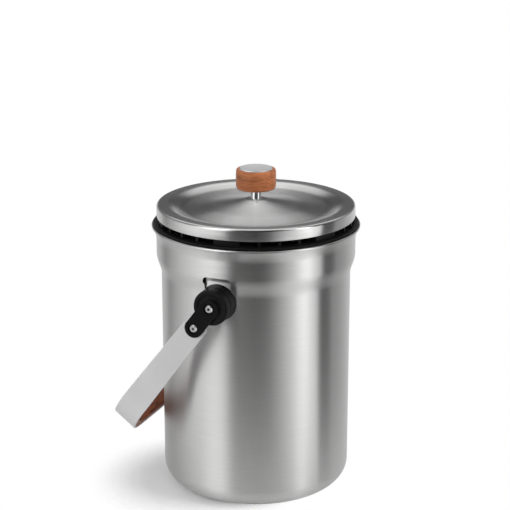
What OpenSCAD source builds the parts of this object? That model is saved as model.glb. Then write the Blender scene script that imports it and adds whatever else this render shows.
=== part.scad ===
// Compost caddy: a drawn steel pail with a swinging strap handle and a lift-off vented lid
// that carries a disc of charcoal foam. Millimetres. The origin is the centre of the base,
// +Z is up and the handle's axle lies along Y. The lid is on and the handle hangs on the -X side.

/* [Pail] */
// Height of the pail to the top of its rolled rim
pail_h = 250; // [215:1:300]
// Outer radius of the body
body_r = 87.5; // [80:0.5:95]
// Thickness of the pail's sheet
wall_t = 1; // [0.8:0.1:1.4]
// How far the collar stands out from the body
collar_out = 4.3; // [3:0.1:6]
// Height of the collar, from the shoulder to the rim
collar_h = 27; // [25:0.5:34]
// Height of the shoulder between body and collar
shoulder_h = 19; // [16:0.5:24]
// How far the lip flares out from the collar
lip_out = 4.2; // [3.5:0.1:5.5]
// Height over which the lip flares
lip_h = 12; // [9:0.5:14]
// Radius of the rolled rim
bead_r = 1.1; // [0.9:0.1:1.4]
// Outer radius of the corner between base and wall
corner_r = 18; // [10:0.5:26]
// Rise of the dished middle of the base
dish_rise = 2.5; // [1:0.1:4]
// Width of the flat ring that the pail stands on
foot_w = 5; // [3:0.5:9]

/* [Handle seat] */
// Depth of the handle's axle below the rim
pivot_drop = 50.9; // [49:0.1:53]
// Width of the slot over each handle seat
slot_w = 27; // [24:0.5:30]
// Width of the open slit round the seat's tongue
slit = 2; // [1.2:0.1:2.6]
// Height of the slit's two ends
slit_end_h = 6.5; // [4:0.5:8]
// Radius of the boss's front flange
boss_r = 16.2; // [15:0.1:17]
// Radius of the boss's neck
boss_neck_r = 14.3; // [12:0.1:14.8]
// Length of the boss, from the wall to its front face
boss_l = 17.5; // [16:0.5:22]
// Thickness of the boss's front flange
flange_t = 7.5; // [5:0.5:10]

/* [Handle] */
// Distance from the axle to the outside of the crossbar
reach = 169; // [150:0.5:175]
// Outer radius of the strap's two bends
bend_r = 47.3; // [35:0.5:60]
// Thickness of the strap
strap_t = 2; // [1.5:0.1:2.5]
// Width of the strap where it leaves the link
strap_w_top = 21.2; // [20:0.1:24]
// Width of the strap at the crossbar
strap_w = 24.4; // [24:0.1:30]
// Offset of the strap's centre line from the link's, towards the wall
strap_offset = 0; // [-1:0.1:3]
// Width of the link
link_w = 17; // [15:0.5:19]
// Thickness of the link
link_t = 3; // [2.4:0.1:4]
// Distance between the link's two rivets
link_l = 25; // [23:0.5:27]
// Thickness of the wooden grip
grip_t = 6.5; // [5:0.5:9]
// Angle of each bend that the grip follows
grip_wrap = 56; // [20:1:70]
// Rounding of the grip's inner edges
grip_round = 2; // [1:0.1:2.4]

/* [Rivets] */
// Radius of a rivet head
rivet_head_r = 3.5; // [3:0.1:4]
// Radius of a rivet shank
rivet_r = 2.2; // [1.8:0.1:2.4]
// Radius of the hole down a rivet's middle
rivet_eye_r = 1.3; // [0.8:0.1:1.4]
// Height of a rivet head
rivet_head_h = 1.3; // [1:0.1:1.6]

/* [Lid] */
// Thickness of the lid's two sheet pieces
lid_t = 0.8; // [0.6:0.1:1]
// Gap between the skirt and the inside of the collar
skirt_gap = 1.2; // [0.8:0.1:2]
// Depth that the skirt reaches below its seat on the rim
skirt_h = 15.4; // [14:0.1:16]
// Radius of the skirt's inward-rolled lower edge
roll_r = 2.5; // [2:0.1:3]
// How far the top shell overhangs the skirt
shell_over = 1.7; // [1.4:0.1:2.4]
// Height of the top shell's apron
apron_h = 10.9; // [9.6:0.1:13]
// Rounding of the top shell's outer edge
edge_r = 2.2; // [1.4:0.1:3]
// Radius of the valley in the lid's top
valley_r = 66; // [55:1:72]
// Depth of the valley below the outer ring
valley_d = 2.2; // [1:0.1:2.6]
// Rise of the middle of the lid above the outer ring
crown_rise = 4.1; // [2:0.1:7]
// Width of the flat outer ring of the lid's top
ring_w = 9; // [6:0.5:12]
// Thickness of the plastic liner's walls
liner_t = 1.8; // [1.4:0.1:2]

/* [Vents and gasket] */
// Height of a vent window
window_h = 4.4; // [3:0.1:6]
// Number of groups of vent windows
window_groups = 6; // [3:1:8]
// Number of windows in a group
windows_per_group = 4; // [1:1:4]
// Angle that one window spans
window_deg = 10; // [5:0.5:10]
// Angle of the rib between two windows
rib_deg = 1.6; // [1:0.1:2]
// Bearing of the middle of the first group of windows
window_turn = 5.7; // [0:0.1:60]
// Height of the gasket
gasket_h = 2.5; // [2.4:0.1:3.6]
// How far the gasket's edge lies inside the rim's outer edge
gasket_in = 1.8; // [1.4:0.1:2]
// Rounding of the gasket's outer lip
gasket_lip = 1.2; // [0.8:0.1:1.2]
// Number of dimples that lock the skirt on the liner
dimples = 4; // [3:1:8]
// Bearing of the first dimple
dimple_turn = 9; // [0:1:90]

/* [Knob] */
// Radius of the wooden knob
knob_r = 18.2; // [16:0.1:22]
// Height of the wooden knob
knob_h = 18.5; // [14:0.1:24]
// Rounding of the knob's two rims
knob_round = 2.4; // [1.6:0.1:3]
// Width of the wood round the steel disc in the knob's top
cap_rim = 4.2; // [3.4:0.1:6]
// Thickness of the steel disc
cap_t = 1.4; // [1:0.1:2]
// Radius of the knob's post
post_r = 4.9; // [4.4:0.1:6]
// Visible height of the post
post_h = 9.4; // [8:0.1:18]

/* [Filter] */
// Thickness of the charcoal foam disc
filter_t = 11; // [8:0.5:11]

/* [Clearances] */
// Gap between pieces that rest on or pass each other
gap = 0.3; // [0.2:0.05:0.5]
// Radial gap round a shank or a pressed-on ring
fit = 0.05; // [0.02:0.01:0.1]
// Gap between the hanging grip and the wall
hang_gap = 0.4; // [0.3:0.05:0.8]

/* [Hidden] */
$fn = 96;
over = 1;                                    // how far a cut runs past what it cuts

// Pail
collar_r = body_r + collar_out;
collar_in_r = collar_r - wall_t;
rim_r = collar_r + lip_out;
bead_c = [rim_r - bead_r, pail_h - bead_r];  // centre of the rolled rim's section
collar_z = pail_h - collar_h;                // foot of the collar
shoulder_z = collar_z - shoulder_h;          // foot of the shoulder
foot_r = body_r - corner_r;
ledge_r = 0.8;                               // section radius of the bead inside the collar
ledge_z = collar_z + 3.8;

// Handle seat
pivot_z = pail_h - pivot_drop;
boss_face = body_r + boss_l;
boss_edge = 0.9;                             // chamfer of the boss's front edge
slot_top = collar_z - 0.6;
slot_corner = 4;
tongue_w = slot_w - 2 * slit;
tongue_top = slot_top - slit;
tongue_corner = slot_corner - slit;
slit_end_z = slot_top - slit_end_h;
cheek_t = wall_t;

// Handle
link_back = boss_face + gap;
link_face = link_back + link_t;
link_bevel = 0.6;
sink_r = rivet_head_r + 1.5;                 // counterbore round a rivet head
sink_d = 1;
strap_out = link_back;                       // outer face of the strap's arms
strap_in = strap_out - strap_t;
strap_start = boss_r + 1.3;                  // where the strap's end clears the boss
strap_corner = 3;
grip_bend_r = bend_r - strap_t - fit;        // outside of the grip in a bend
bend_y = strap_out - bend_r;                 // where the crossbar's straight part ends
bend_z = -(reach - bend_r);                  // height of the bends' centres below the axle
screw_y = bend_y - 18;                       // spacing of the three grip screws
grip_screw_r = 1.5;
grip_screw_l = 4;
// The handle hangs with the lower inner edge of its grip on the wall.
hang_a = reach - strap_t - grip_t + grip_round;
hang_b = strap_w / 2 + strap_offset - grip_round;
hang_deg = asin((body_r + hang_gap + grip_round) / norm([hang_a, hang_b])) + atan(hang_b / hang_a);

// Lid, from the seat up
gasket_r = rim_r - gasket_in;
gasket_bevel = 0.2;
seat_z = bead_c.y + sqrt((bead_r + gap) ^ 2 - (bead_c.x - gasket_r + gasket_bevel) ^ 2);
skirt_r = collar_in_r - skirt_gap;
skirt_z = seat_z - skirt_h;                  // bottom of the lid
shell_r = skirt_r + shell_over;
mouth_r = skirt_r - roll_r;                  // opening inside the rolled edge
vent_r = shell_r - lid_t - 0.4;              // outside of the liner's vent wall
sleeve_r = skirt_r - lid_t - fit;            // outside of the liner's sleeve
lip_t = 0.9;                                 // lip under the gasket
lip_r = vent_r + 0.9;
window_z = seat_z + gasket_h + 0.3;
apron_z = window_z + window_h + 0.4;
ring_z = apron_z + apron_h;                  // level of the lid's outer ring
crown_z = ring_z + crown_rise;
crown_r = post_r + 4;                        // flat seat of the post
hem_in = 0.9;                                // how far the apron's hem bites into the liner
ceiling_z = ring_z - valley_d - lid_t - 3.4;
hub_r = 10;
dimple_r = 2.4;
dimple_d = 0.8;
dimple_z = skirt_z + roll_r + 2;
sleeve_z = dimple_z + dimple_r - gap;        // lower edge of the sleeve, caught by the dimples

// Filter, held in a pocket of the liner
filter_r = skirt_r - 7.1;
filter_z = seat_z - 10.2;
pocket_r = filter_r + gap;
pocket_t = 1.6;
pocket_z = filter_z + 4;                     // lower edge of the pocket's wall
stop_z = filter_z + filter_t + gap;          // ledge over the filter
stop_top = max(stop_z + 1.5, seat_z + liner_t);
stop_w = 2.5;                                // how far the ledge covers the filter's edge

// Knob
knob_z = crown_z + post_h;
cap_r = knob_r - cap_rim;
tenon_r = post_r - 1;
tenon_h = 7;
screw_r = 2.4;
screw_top = crown_z + 8;
screw_head_r = 4.6;
screw_head_h = 2.6;
washer_r = 8.5;
washer_t = 1.2;
washer_z = ceiling_z - 1.8 - washer_t;

// Points on an arc round c, from angle a0 to a1
function arc(c, r, a0, a1, n = 8) =
    [for (i = [0:n]) let (a = a0 + (a1 - a0) * i / n) [c.x + r * cos(a), c.y + r * sin(a)]];

function reversed(p) = [for (i = [len(p) - 1:-1:0]) p[i]];

// The path p moved sideways by d, to the left of its direction
function beside(p, d) = [
    for (i = [0:len(p) - 1])
        let (u = p[min(i + 1, len(p) - 1)] - p[max(i - 1, 0)], n = [-u.y, u.x] / norm(u)) p[i] + d * n
];

// A sheet of thickness t on the left of the path p, turned round the Z axis
module spun_sheet(p, t) {
    rotate_extrude() polygon(concat(p, reversed(beside(p, t))));
}

// Copies a piece of the front, at -Y, to the back when the side is "rear"
module on_side(side) {
    if (side == "rear") mirror([0, 1, 0]) children();
    else children();
}

// A cylinder along Y from y0 to y1, on the axle
module along_y(r, y0, y1, r_end = undef) {
    translate([0, y0, 0]) rotate([-90, 0, 0])
        cylinder(r1 = r, r2 = is_undef(r_end) ? r : r_end, h = y1 - y0);
}

// An upright panel shape with two rounded top corners
module arch(w, z0, z1, r) {
    translate([-w / 2, z0]) square([w, z1 - r - z0]);
    translate([-w / 2 + r, z0]) square([w - 2 * r, z1 - z0]);
    for (s = [-1, 1]) translate([s * (w / 2 - r), z1 - r]) circle(r);
}

// The arch as a block through the wall, at the front
module arch_block(w, z0, z1, r) {
    translate([0, -body_r + 12, 0]) rotate([90, 0, 0]) linear_extrude(30) arch(w, z0, z1, r);
}

function shoulder_pts(z_end) = [
    for (k = [0:1 / 10:1]) let (z = shoulder_z + shoulder_h * k) if (z <= z_end)
        [body_r + collar_out * (1 - cos(180 * k)) / 2, z]
];

// Outside of the pail, from the middle of the base up to the lip
pail_path = concat(
    [[0, dish_rise], [foot_r - foot_w - 7, dish_rise], [foot_r - foot_w, 0], [foot_r, 0]],
    arc([foot_r, corner_r], corner_r, -80, 0),
    shoulder_pts(collar_z),
    [for (k = [0:0.25:1])
        [collar_r + (lip_out - 0.6) * k ^ 1.6, pail_h - lip_h + (lip_h - bead_r - 0.3) * k]]
);

// Upright tongue of the wall behind the slot, and the two cheeks that join it to the shoulder
module seat_tongue() {
    intersection() {
        difference() {
            cylinder(r = body_r, h = pail_h);
            cylinder(r = body_r - wall_t, h = 3 * pail_h, center = true);
        }
        union() {
            arch_block(tongue_w, shoulder_z, tongue_top, tongue_corner);
            arch_block(slot_w + 0.2, shoulder_z, slit_end_z, 0.5);
        }
    }
    intersection() {
        rotate_extrude()
            polygon(concat(
                [[body_r - wall_t / 2, shoulder_z]],
                shoulder_pts(slit_end_z),
                [[body_r - wall_t / 2, slit_end_z]]
            ));
        for (s = [-1, 1])
            translate([s * (slot_w - cheek_t) / 2 - cheek_t / 2, -pail_h, 0])
                cube([cheek_t, pail_h, slit_end_z]);
    }
}

// Pocket that the boss needs outside the body's wall
module boss_pocket() {
    difference() {
        along_y(boss_neck_r + gap, -boss_face, -body_r / 2);
        translate([0, 0, -pail_h]) cylinder(r = body_r, h = 2 * pail_h);
    }
}

module pail_shell() color("silver")
    difference() {
        union() {
            difference() {
                union() {
                    spun_sheet(pail_path, wall_t);
                    rotate_extrude() translate(bead_c) circle(bead_r);
                    rotate_extrude() translate([collar_in_r + ledge_r / 4, ledge_z]) circle(ledge_r);
                }
                for (side = ["front", "rear"]) on_side(side)
                    arch_block(slot_w, shoulder_z, slot_top, slot_corner);
            }
            for (side = ["front", "rear"]) on_side(side) seat_tongue();
        }
        for (side = ["front", "rear"]) on_side(side) translate([0, 0, pivot_z]) {
            boss_pocket();
            along_y(rivet_r + fit, -body_r - over, -body_r + 2 * wall_t + over);
        }
    }

// Moulded drum that spaces the handle off the wall
module boss(side) color("#202020")
    on_side(side) difference() {
        translate([0, 0, pivot_z]) {
            along_y(boss_neck_r, -boss_face + boss_edge, -body_r + 6);
            along_y(boss_r, -boss_face + boss_edge, -boss_face + flange_t);
            along_y(boss_r - boss_edge, -boss_face, -boss_face + boss_edge, boss_r);
        }
        cylinder(r = body_r + 2 * fit, h = 3 * pail_h, center = true);
        translate([0, 0, pivot_z]) along_y(rivet_r + fit, -boss_face - over, 0);
    }

// Domed rivet head with its flat side at y = 0 and its crown towards -Y
module rivet_head() {
    along_y(rivet_head_r, -rivet_head_h * 0.4, 0);
    along_y(rivet_head_r - 0.7, -rivet_head_h, -rivet_head_h * 0.4, rivet_head_r);
}

// Hollow rivet from an outer head at y_out to an inner head at y_in
module rivet(y_out, y_in, r)
    difference() {
        union() {
            translate([0, y_out, 0]) rivet_head();
            along_y(r, y_out - over / 2, y_in + over / 2);
            translate([0, y_in, 0]) mirror([0, 1, 0]) rivet_head();
        }
        along_y(rivet_eye_r, y_out - rivet_head_h - over, y_out + 2);
    }

// Rivet that the link turns on
module pivot_rivet(side) color("gainsboro")
    on_side(side) translate([0, 0, pivot_z])
        rivet(-link_face + sink_d - fit * 2, -body_r + wall_t + fit * 2, rivet_r);

// The handle's own frame: the axle at the origin, the arms straight down, hung at rest
module hung() {
    translate([0, 0, pivot_z]) rotate([0, hang_deg, 0]) children();
}

// Link section along the rivets' line, with bevelled front edges
module link_plate() {
    half = link_w / 2;
    bevel_y = -link_face + link_bevel;
    for (z = [0, -link_l]) translate([0, 0, z]) {
        along_y(half, bevel_y, -link_back);
        along_y(half - link_bevel, -link_face, bevel_y, half);
    }
    rotate([180, 0, 0]) linear_extrude(link_l)
        polygon([
            [-half, link_back], [half, link_back], [half, -bevel_y],
            [half - link_bevel, link_face], [link_bevel - half, link_face], [-half, -bevel_y]
        ]);
}

module link(side) color("#181818")
    hung() on_side(side) difference() {
        link_plate();
        for (z = [0, -link_l]) translate([0, 0, z]) {
            along_y(rivet_r + fit, -link_face - over, -link_back + over);
            along_y(sink_r, -link_face - over, -link_face + sink_d);
        }
    }

module strap_rivet(side) color("gainsboro")
    hung() on_side(side) translate([0, 0, -link_l])
        rivet(-link_face + sink_d, -strap_in, rivet_r);

// Filled U of the strap in the YZ plane, inset by d
module u_fill(d) {
    half = strap_out - d;
    r = bend_r - d;
    translate([-half, bend_z]) square([2 * half, -bend_z + over]);
    translate([-bend_y, bend_z - r]) square([2 * bend_y, r + over]);
    for (s = [-1, 1]) translate([s * bend_y, bend_z]) circle(r);
}

// Front view of the strap: a taper from the link to the crossbar
module strap_front() {
    half_top = strap_w_top / 2;
    half = strap_w / 2;
    z_top = -strap_start;
    polygon([
        [-half, -reach - over], [half, -reach - over], [half, bend_z],
        [half_top, z_top - strap_corner], [half_top - strap_corner, z_top],
        [strap_corner - half_top, z_top], [-half_top, z_top - strap_corner], [-half, bend_z]
    ]);
}

module strap_blank()
    intersection() {
        rotate([90, 0, 90]) linear_extrude(3 * strap_w, center = true) difference() {
            u_fill(0);
            u_fill(strap_t);
        }
        translate([strap_offset, strap_out + over, 0]) rotate([90, 0, 0])
            linear_extrude(2 * (strap_out + over)) strap_front();
    }

module at_screw(n) {
    translate([strap_offset, (n - 1) * screw_y, -reach]) children();
}

module handle_strap() color("lightgray")
    hung() difference() {
        strap_blank();
        for (side = ["front", "rear"]) on_side(side) translate([0, 0, -link_l])
            along_y(rivet_r + fit, -strap_out - over, -strap_in + over);
        for (n = [0:2]) at_screw(n) translate([0, 0, -over])
            cylinder(r = grip_screw_r + fit, h = strap_t + 2 * over);
    }

// Section of the grip: x across the strap, y from the strap inwards
module grip_section() {
    half = strap_w / 2 - 0.5;
    polygon(concat(
        [[-half, 0], [half, 0]],
        arc([half - grip_round, grip_t - grip_round], grip_round, 0, 90, 5),
        arc([grip_round - half, grip_t - grip_round], grip_round, 90, 180, 5)
    ));
}

module handle_grip() color("#7a3b1d")
    hung() translate([strap_offset, 0, 0]) difference() {
        union() {
            translate([0, bend_y, -reach + strap_t + fit]) rotate([90, 0, 0])
                linear_extrude(2 * bend_y) grip_section();
            for (side = ["front", "rear"]) on_side(side)
                translate([0, -bend_y, bend_z]) mirror([0, 1, 0]) rotate([0, 90, 0])
                    rotate_extrude(angle = grip_wrap)
                        translate([grip_bend_r, 0]) rotate(90) grip_section();
        }
        translate([-strap_offset, 0, 0]) for (n = [0:2])
            at_screw(n) cylinder(r = grip_screw_r + fit, h = strap_t + grip_screw_l + gap);
    }

// Screws that hold the grip, numbered from the front
module grip_screw(n) color("gainsboro")
    hung() at_screw(n) {
        translate([0, 0, -1.1]) cylinder(r1 = 2.4, r2 = 3.1, h = 1.1);
        cylinder(r = grip_screw_r, h = strap_t + grip_screw_l);
    }

// Underside of the lid's top, from the post's seat out to the hem of the apron
function top_z(r) =
    r < valley_r
        ? ring_z - valley_d + (crown_rise + valley_d) * ((valley_r - r) / (valley_r - crown_r)) ^ 1.25
        : ring_z - valley_d * (1 + cos(180 * (r - valley_r) / (shell_r - ring_w - valley_r))) / 2;

// Outside of the top shell, from the crown's hole to the hem of the apron
shell_path = concat(
    [[screw_r + gap, crown_z]],
    [for (k = [0:1 / 8:0.999]) let (r = crown_r + (valley_r - crown_r) * k) [r, top_z(r)]],
    [for (k = [0:1 / 6:1]) let (r = valley_r + (shell_r - ring_w - valley_r) * k) [r, top_z(r)]],
    arc([shell_r - edge_r, ring_z - edge_r], edge_r, 80, 0, 6),
    [[shell_r, apron_z]]
);

module lid_shell() color("silver") {
    spun_sheet(shell_path, -lid_t);
    difference() {
        translate([0, 0, apron_z]) cylinder(r = shell_r, h = lid_t);
        translate([0, 0, apron_z - over]) cylinder(r = vent_r - hem_in + gap, h = lid_t + 2 * over);
    }
}

// Moulded liner: sleeve, stop for the filter, vent wall, ceiling and hub in one
module vent_liner() color("#1c1c1c")
    difference() {
        rotate_extrude() polygon([
            [sleeve_r - liner_t, sleeve_z], [sleeve_r, sleeve_z], [sleeve_r, seat_z],
            [lip_r, seat_z], [lip_r, seat_z + lip_t], [vent_r, seat_z + lip_t],
            [vent_r, apron_z - 0.1], [vent_r - hem_in, apron_z - 0.1],
            [vent_r - hem_in, apron_z + lid_t + 0.1], [vent_r, apron_z + lid_t + 0.1],
            [vent_r, ceiling_z], [hub_r, ceiling_z], [hub_r, top_z(hub_r) - lid_t - 0.5],
            [crown_r - 1, crown_z - lid_t - 0.1], [screw_r + fit, crown_z - lid_t - 0.1],
            [screw_r + fit, ceiling_z - 1.8], [vent_r - liner_t - hem_in, ceiling_z - 1.8],
            [vent_r - liner_t - hem_in, window_z + window_h + 0.4],
            [vent_r - liner_t, window_z + window_h], [vent_r - liner_t, stop_top],
            [filter_r - stop_w, stop_top], [filter_r - stop_w, stop_z], [pocket_r, stop_z],
            [pocket_r, pocket_z], [pocket_r + pocket_t, pocket_z], [pocket_r + pocket_t, stop_z],
            [sleeve_r - liner_t, stop_z]
        ]);
        for (g = [0:window_groups - 1], w = [0:windows_per_group - 1])
            rotate(window_turn + g * 360 / window_groups
                + (w - (windows_per_group - 1) / 2) * (window_deg + rib_deg))
                translate([vent_r - 3 * liner_t, -vent_r * tan(window_deg / 2), window_z])
                    cube([4 * liner_t, 2 * vent_r * tan(window_deg / 2), window_h]);
    }

// Soft ring with a round outer lip that seals on the rim
module lid_gasket() color("#101010")
    rotate_extrude() polygon(concat(
        [[vent_r + 2 * fit, seat_z + gasket_h], [vent_r + 2 * fit, seat_z + lip_t + fit],
         [lip_r + 2 * fit, seat_z + lip_t + fit], [lip_r + 2 * fit, seat_z],
         [gasket_r - gasket_bevel, seat_z]],
        arc([gasket_r - gasket_lip, seat_z + gasket_lip], gasket_lip, -15, 70, 6),
        [[gasket_r - 1.7 * gasket_lip, seat_z + gasket_h]]
    ));

// Skirt that reaches into the collar, with its lower edge rolled inwards
skirt_path = concat([[skirt_r, seat_z]], arc([mouth_r, skirt_z + roll_r], roll_r, 0, -90, 8));

module lid_skirt() color("silver")
    difference() {
        union() {
            spun_sheet(skirt_path, -lid_t);
            for (i = [0:dimples - 1]) rotate(dimple_turn + i * 360 / dimples) intersection() {
                translate([skirt_r - lid_t + dimple_r - dimple_d, 0, dimple_z]) sphere(dimple_r);
                cylinder(r = skirt_r - lid_t / 2, h = seat_z);
            }
        }
        for (i = [0:dimples - 1]) rotate(dimple_turn + i * 360 / dimples)
            translate([skirt_r + dimple_r - dimple_d, 0, dimple_z]) sphere(dimple_r);
    }

// Turned knob with a steel disc let into its top
module knob() color("#a55a35")
    rotate_extrude() polygon(concat(
        [[tenon_r + 2 * fit, knob_z], [knob_r - knob_round, knob_z]],
        arc([knob_r - knob_round, knob_z + knob_round], knob_round, -75, 0, 5),
        [[knob_r + 0.25, knob_z + knob_h / 2]],
        arc([knob_r - knob_round, knob_z + knob_h - knob_round], knob_round, 0, 90, 5),
        [[cap_r + fit, knob_z + knob_h], [cap_r + fit, knob_z + knob_h - cap_t],
         [0, knob_z + knob_h - cap_t], [0, knob_z + tenon_h + gap],
         [tenon_r + 2 * fit, knob_z + tenon_h + gap]]
    ));

module knob_cap() color("silver")
    rotate_extrude() polygon(concat(
        [[0, knob_z + knob_h - cap_t], [cap_r, knob_z + knob_h - cap_t], [cap_r, knob_z + knob_h - 0.3]],
        [for (k = [0:0.2:1]) [cap_r * (1 - k) * 0.96, knob_z + knob_h + 0.35 * (1 - (1 - k) ^ 2)]]
    ));

module knob_post() color("white")
    difference() {
        union() {
            translate([0, 0, crown_z]) cylinder(r = post_r, h = post_h);
            translate([0, 0, knob_z]) cylinder(r = tenon_r, h = tenon_h);
        }
        translate([0, 0, crown_z - over]) cylinder(r = screw_r + fit, h = screw_top - crown_z + over + gap);
    }

module knob_screw() color("gainsboro") {
    translate([0, 0, washer_z]) cylinder(r = screw_r, h = screw_top - washer_z);
    difference() {
        translate([0, 0, washer_z - screw_head_h])
            cylinder(r1 = screw_head_r - 0.8, r2 = screw_head_r, h = screw_head_h);
        for (a = [0, 90]) rotate(a)
            translate([-2.6, -0.5, washer_z - screw_head_h - over]) cube([5.2, 1, over + 1.3]);
    }
}

module screw_washer() color("gainsboro")
    translate([0, 0, washer_z]) difference() {
        cylinder(r = washer_r, h = washer_t);
        translate([0, 0, -over]) cylinder(r = screw_r + 2 * fit, h = washer_t + 2 * over);
    }

module charcoal_filter() color("#2b2b2b")
    rotate_extrude() polygon(concat(
        [[0, filter_z], [filter_r - 1, filter_z]],
        arc([filter_r - 1, filter_z + 1], 1, -60, 0, 3),
        arc([filter_r - 1, filter_z + filter_t - 1], 1, 0, 90, 4),
        [[0, filter_z + filter_t]]
    ));

pail_shell();
boss("front");  // front_boss
boss("rear");  // rear_boss
pivot_rivet("front");  // front_pivot_rivet
pivot_rivet("rear");  // rear_pivot_rivet
handle_strap();
handle_grip();
link("front");  // front_link
link("rear");  // rear_link
strap_rivet("front");  // front_strap_rivet
strap_rivet("rear");  // rear_strap_rivet
grip_screw(0);  // front_grip_screw
grip_screw(1);  // middle_grip_screw
grip_screw(2);  // rear_grip_screw
lid_shell();
vent_liner();
lid_gasket();
lid_skirt();
knob();
knob_cap();
knob_post();
knob_screw();
screw_washer();
charcoal_filter();
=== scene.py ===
# %% [markdown]
# # A compost caddy in brushed steel
# The caddy is a drawn steel pail with a swinging strap handle, and a lift-off lid that holds a disc of charcoal
# foam. The solids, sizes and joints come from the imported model. This lesson gives each of them the surface and the
# finish that it has in the hand: fine brush lines on steel, moulded plastic, oiled wood, open foam.

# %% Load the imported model
from math import asin, atan, cos, degrees, hypot, pi, radians, sin

import bmesh
import bpy
import numpy as np
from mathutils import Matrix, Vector


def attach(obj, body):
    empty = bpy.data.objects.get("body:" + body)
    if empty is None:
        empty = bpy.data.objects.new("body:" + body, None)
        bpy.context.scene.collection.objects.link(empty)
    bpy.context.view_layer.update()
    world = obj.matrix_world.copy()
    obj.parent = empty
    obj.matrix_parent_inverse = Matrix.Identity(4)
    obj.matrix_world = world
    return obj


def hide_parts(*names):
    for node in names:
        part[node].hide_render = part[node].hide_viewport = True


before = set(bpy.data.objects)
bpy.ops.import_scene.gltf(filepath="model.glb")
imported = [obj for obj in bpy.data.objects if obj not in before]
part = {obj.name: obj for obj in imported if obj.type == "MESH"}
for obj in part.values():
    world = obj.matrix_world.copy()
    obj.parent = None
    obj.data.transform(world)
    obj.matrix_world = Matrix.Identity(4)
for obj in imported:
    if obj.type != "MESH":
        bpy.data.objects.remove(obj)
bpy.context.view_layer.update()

# %% [markdown]
# ## Sizes
# The lesson works in millimetres and turns them into Blender's metres when a mesh is made. The sizes below are the
# drawing's own. Reading them off the frame's boxes would work too, but a named size says what it is.

# %% The drawing's sizes
PAIL_H, BODY_R, WALL = 250.0, 87.5, 1.0
COLLAR_R, COLLAR_Z, SHOULDER_Z = 91.8, 223.0, 204.0
RIM_R, LIP_Z, BEAD_R = 96.0, 238.0, 1.1
CORNER_R, DISH, FOOT_IN = 18.0, 2.5, 64.5
SLOT_TOP, SLOT_W, SLIT_END = 222.4, 27.0, 215.9
PIVOT_Z, BOSS_FACE, BOSS_R, LINK_L = 199.1, 105.0, 16.2, 25.0
SEAT_Z, SKIRT_R, SKIRT_Z, ROLL_R = 249.972, 89.6, 234.572, 2.5
LID_T, SHELL_R, APRON_Z, RING_Z, CROWN_Z = 0.8, 91.3, 257.572, 268.472, 272.572
VALLEY_R, VALLEY_D, RISE = 66.0, 3.6, 4.1
KNOB_R, KNOB_Z, KNOB_H, KNOB_ROUND, CAP_R, POST_R = 18.2, 281.972, 18.5, 2.4, 14.0, 4.9
REACH, BEND_R, GRIP_T, GRIP_ROUND, HANG_GAP = 169.0, 47.3, 6.5, 2.0, 0.4
STRAP_T, STRAP_W, ARM_W, STRAP_OUT = 2.0, 24.4, 21.2, 105.3

# %% [markdown]
# ## The angle at which the handle hangs
# Let go, the handle swings down until the lower inner edge of its grip lies on the wall. That edge is drop below the
# axle and across beside it while the handle is upright, so one arcsine and one arctangent give the angle.

# %% Hang angle
drop, across = REACH - STRAP_T - GRIP_T + GRIP_ROUND, STRAP_W / 2 - GRIP_ROUND
HANG = asin((BODY_R + HANG_GAP + GRIP_ROUND) / hypot(drop, across)) + atan(across / drop)
print("the handle hangs", round(degrees(HANG), 2), "degrees from upright")

# %% [markdown]
# ## From a grid of points to a skin
# Nearly every piece here was spun, drawn or bent from sheet, so nearly every piece is a grid: one direction runs
# along a section and the other round an axis or along a path. One helper turns any such grid into a mesh. It
# merges the seam and the poles, points the faces outwards, and keeps only true edges sharp.

# %% Grid to mesh
def skin(name, grid, wrap_rows=False, wrap_cols=True, sharp=32):
    """Quads between neighbours of grid[i, j] = (x, y, z) in mm; rows or columns wrap round where asked."""
    rows, cols = grid.shape[:2]
    i = np.arange(rows if wrap_rows else rows - 1)[:, None]
    j = np.arange(cols if wrap_cols else cols - 1)[None, :]
    i1, j1 = (i + 1) % rows, (j + 1) % cols
    quads = np.stack([i * cols + j, i * cols + j1, i1 * cols + j1, i1 * cols + j], -1).reshape(-1, 4)
    mesh = bpy.data.meshes.new(name)
    mesh.from_pydata((grid.reshape(-1, 3) / 1000).tolist(), [], quads.tolist())
    obj = bpy.data.objects.new(name, mesh)
    bpy.context.scene.collection.objects.link(obj)
    close(obj, sharp)
    return obj


def close(obj, sharp=32):
    """Merges doubles, points the faces outwards, and shades smooth across edges flatter than sharp degrees."""
    bm = bmesh.new()
    bm.from_mesh(obj.data)
    bmesh.ops.remove_doubles(bm, verts=bm.verts, dist=2e-6)
    bmesh.ops.dissolve_degenerate(bm, edges=bm.edges, dist=1e-7)
    bmesh.ops.recalc_face_normals(bm, faces=bm.faces)
    bm.to_mesh(obj.data)
    bm.free()
    obj.data.shade_smooth()
    obj.data.set_sharp_from_angle(angle=radians(sharp))
    print(f"{obj.name}: {len(obj.data.vertices)} points, {len(obj.data.polygons)} faces")


def joined(pieces, name, sharp=32):
    """Joins meshes into the first one, under one name."""
    for o in bpy.context.selected_objects:
        o.select_set(False)
    for o in pieces:
        o.select_set(True)
    bpy.context.view_layer.objects.active = pieces[0]
    bpy.ops.object.join()
    pieces[0].name = pieces[0].data.name = name
    close(pieces[0], sharp)
    return pieces[0]


# %% [markdown]
# ## Turning a section
# A spun piece is its section turned round the axis. Real sheet has no perfectly sharp edge, so the corners of a
# section get a small arc, and a support point beside each arc keeps the flat next to it flat in the light.

# %% Sections
def arc(cx, cz, r, a0, a1, n=12):
    """Points (cx + r cos a, cz + r sin a) for a from a0 to a1 degrees."""
    a = np.radians(np.linspace(a0, a1, n))
    return np.stack([cx + r * np.cos(a), cz + r * np.sin(a)], -1)


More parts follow.
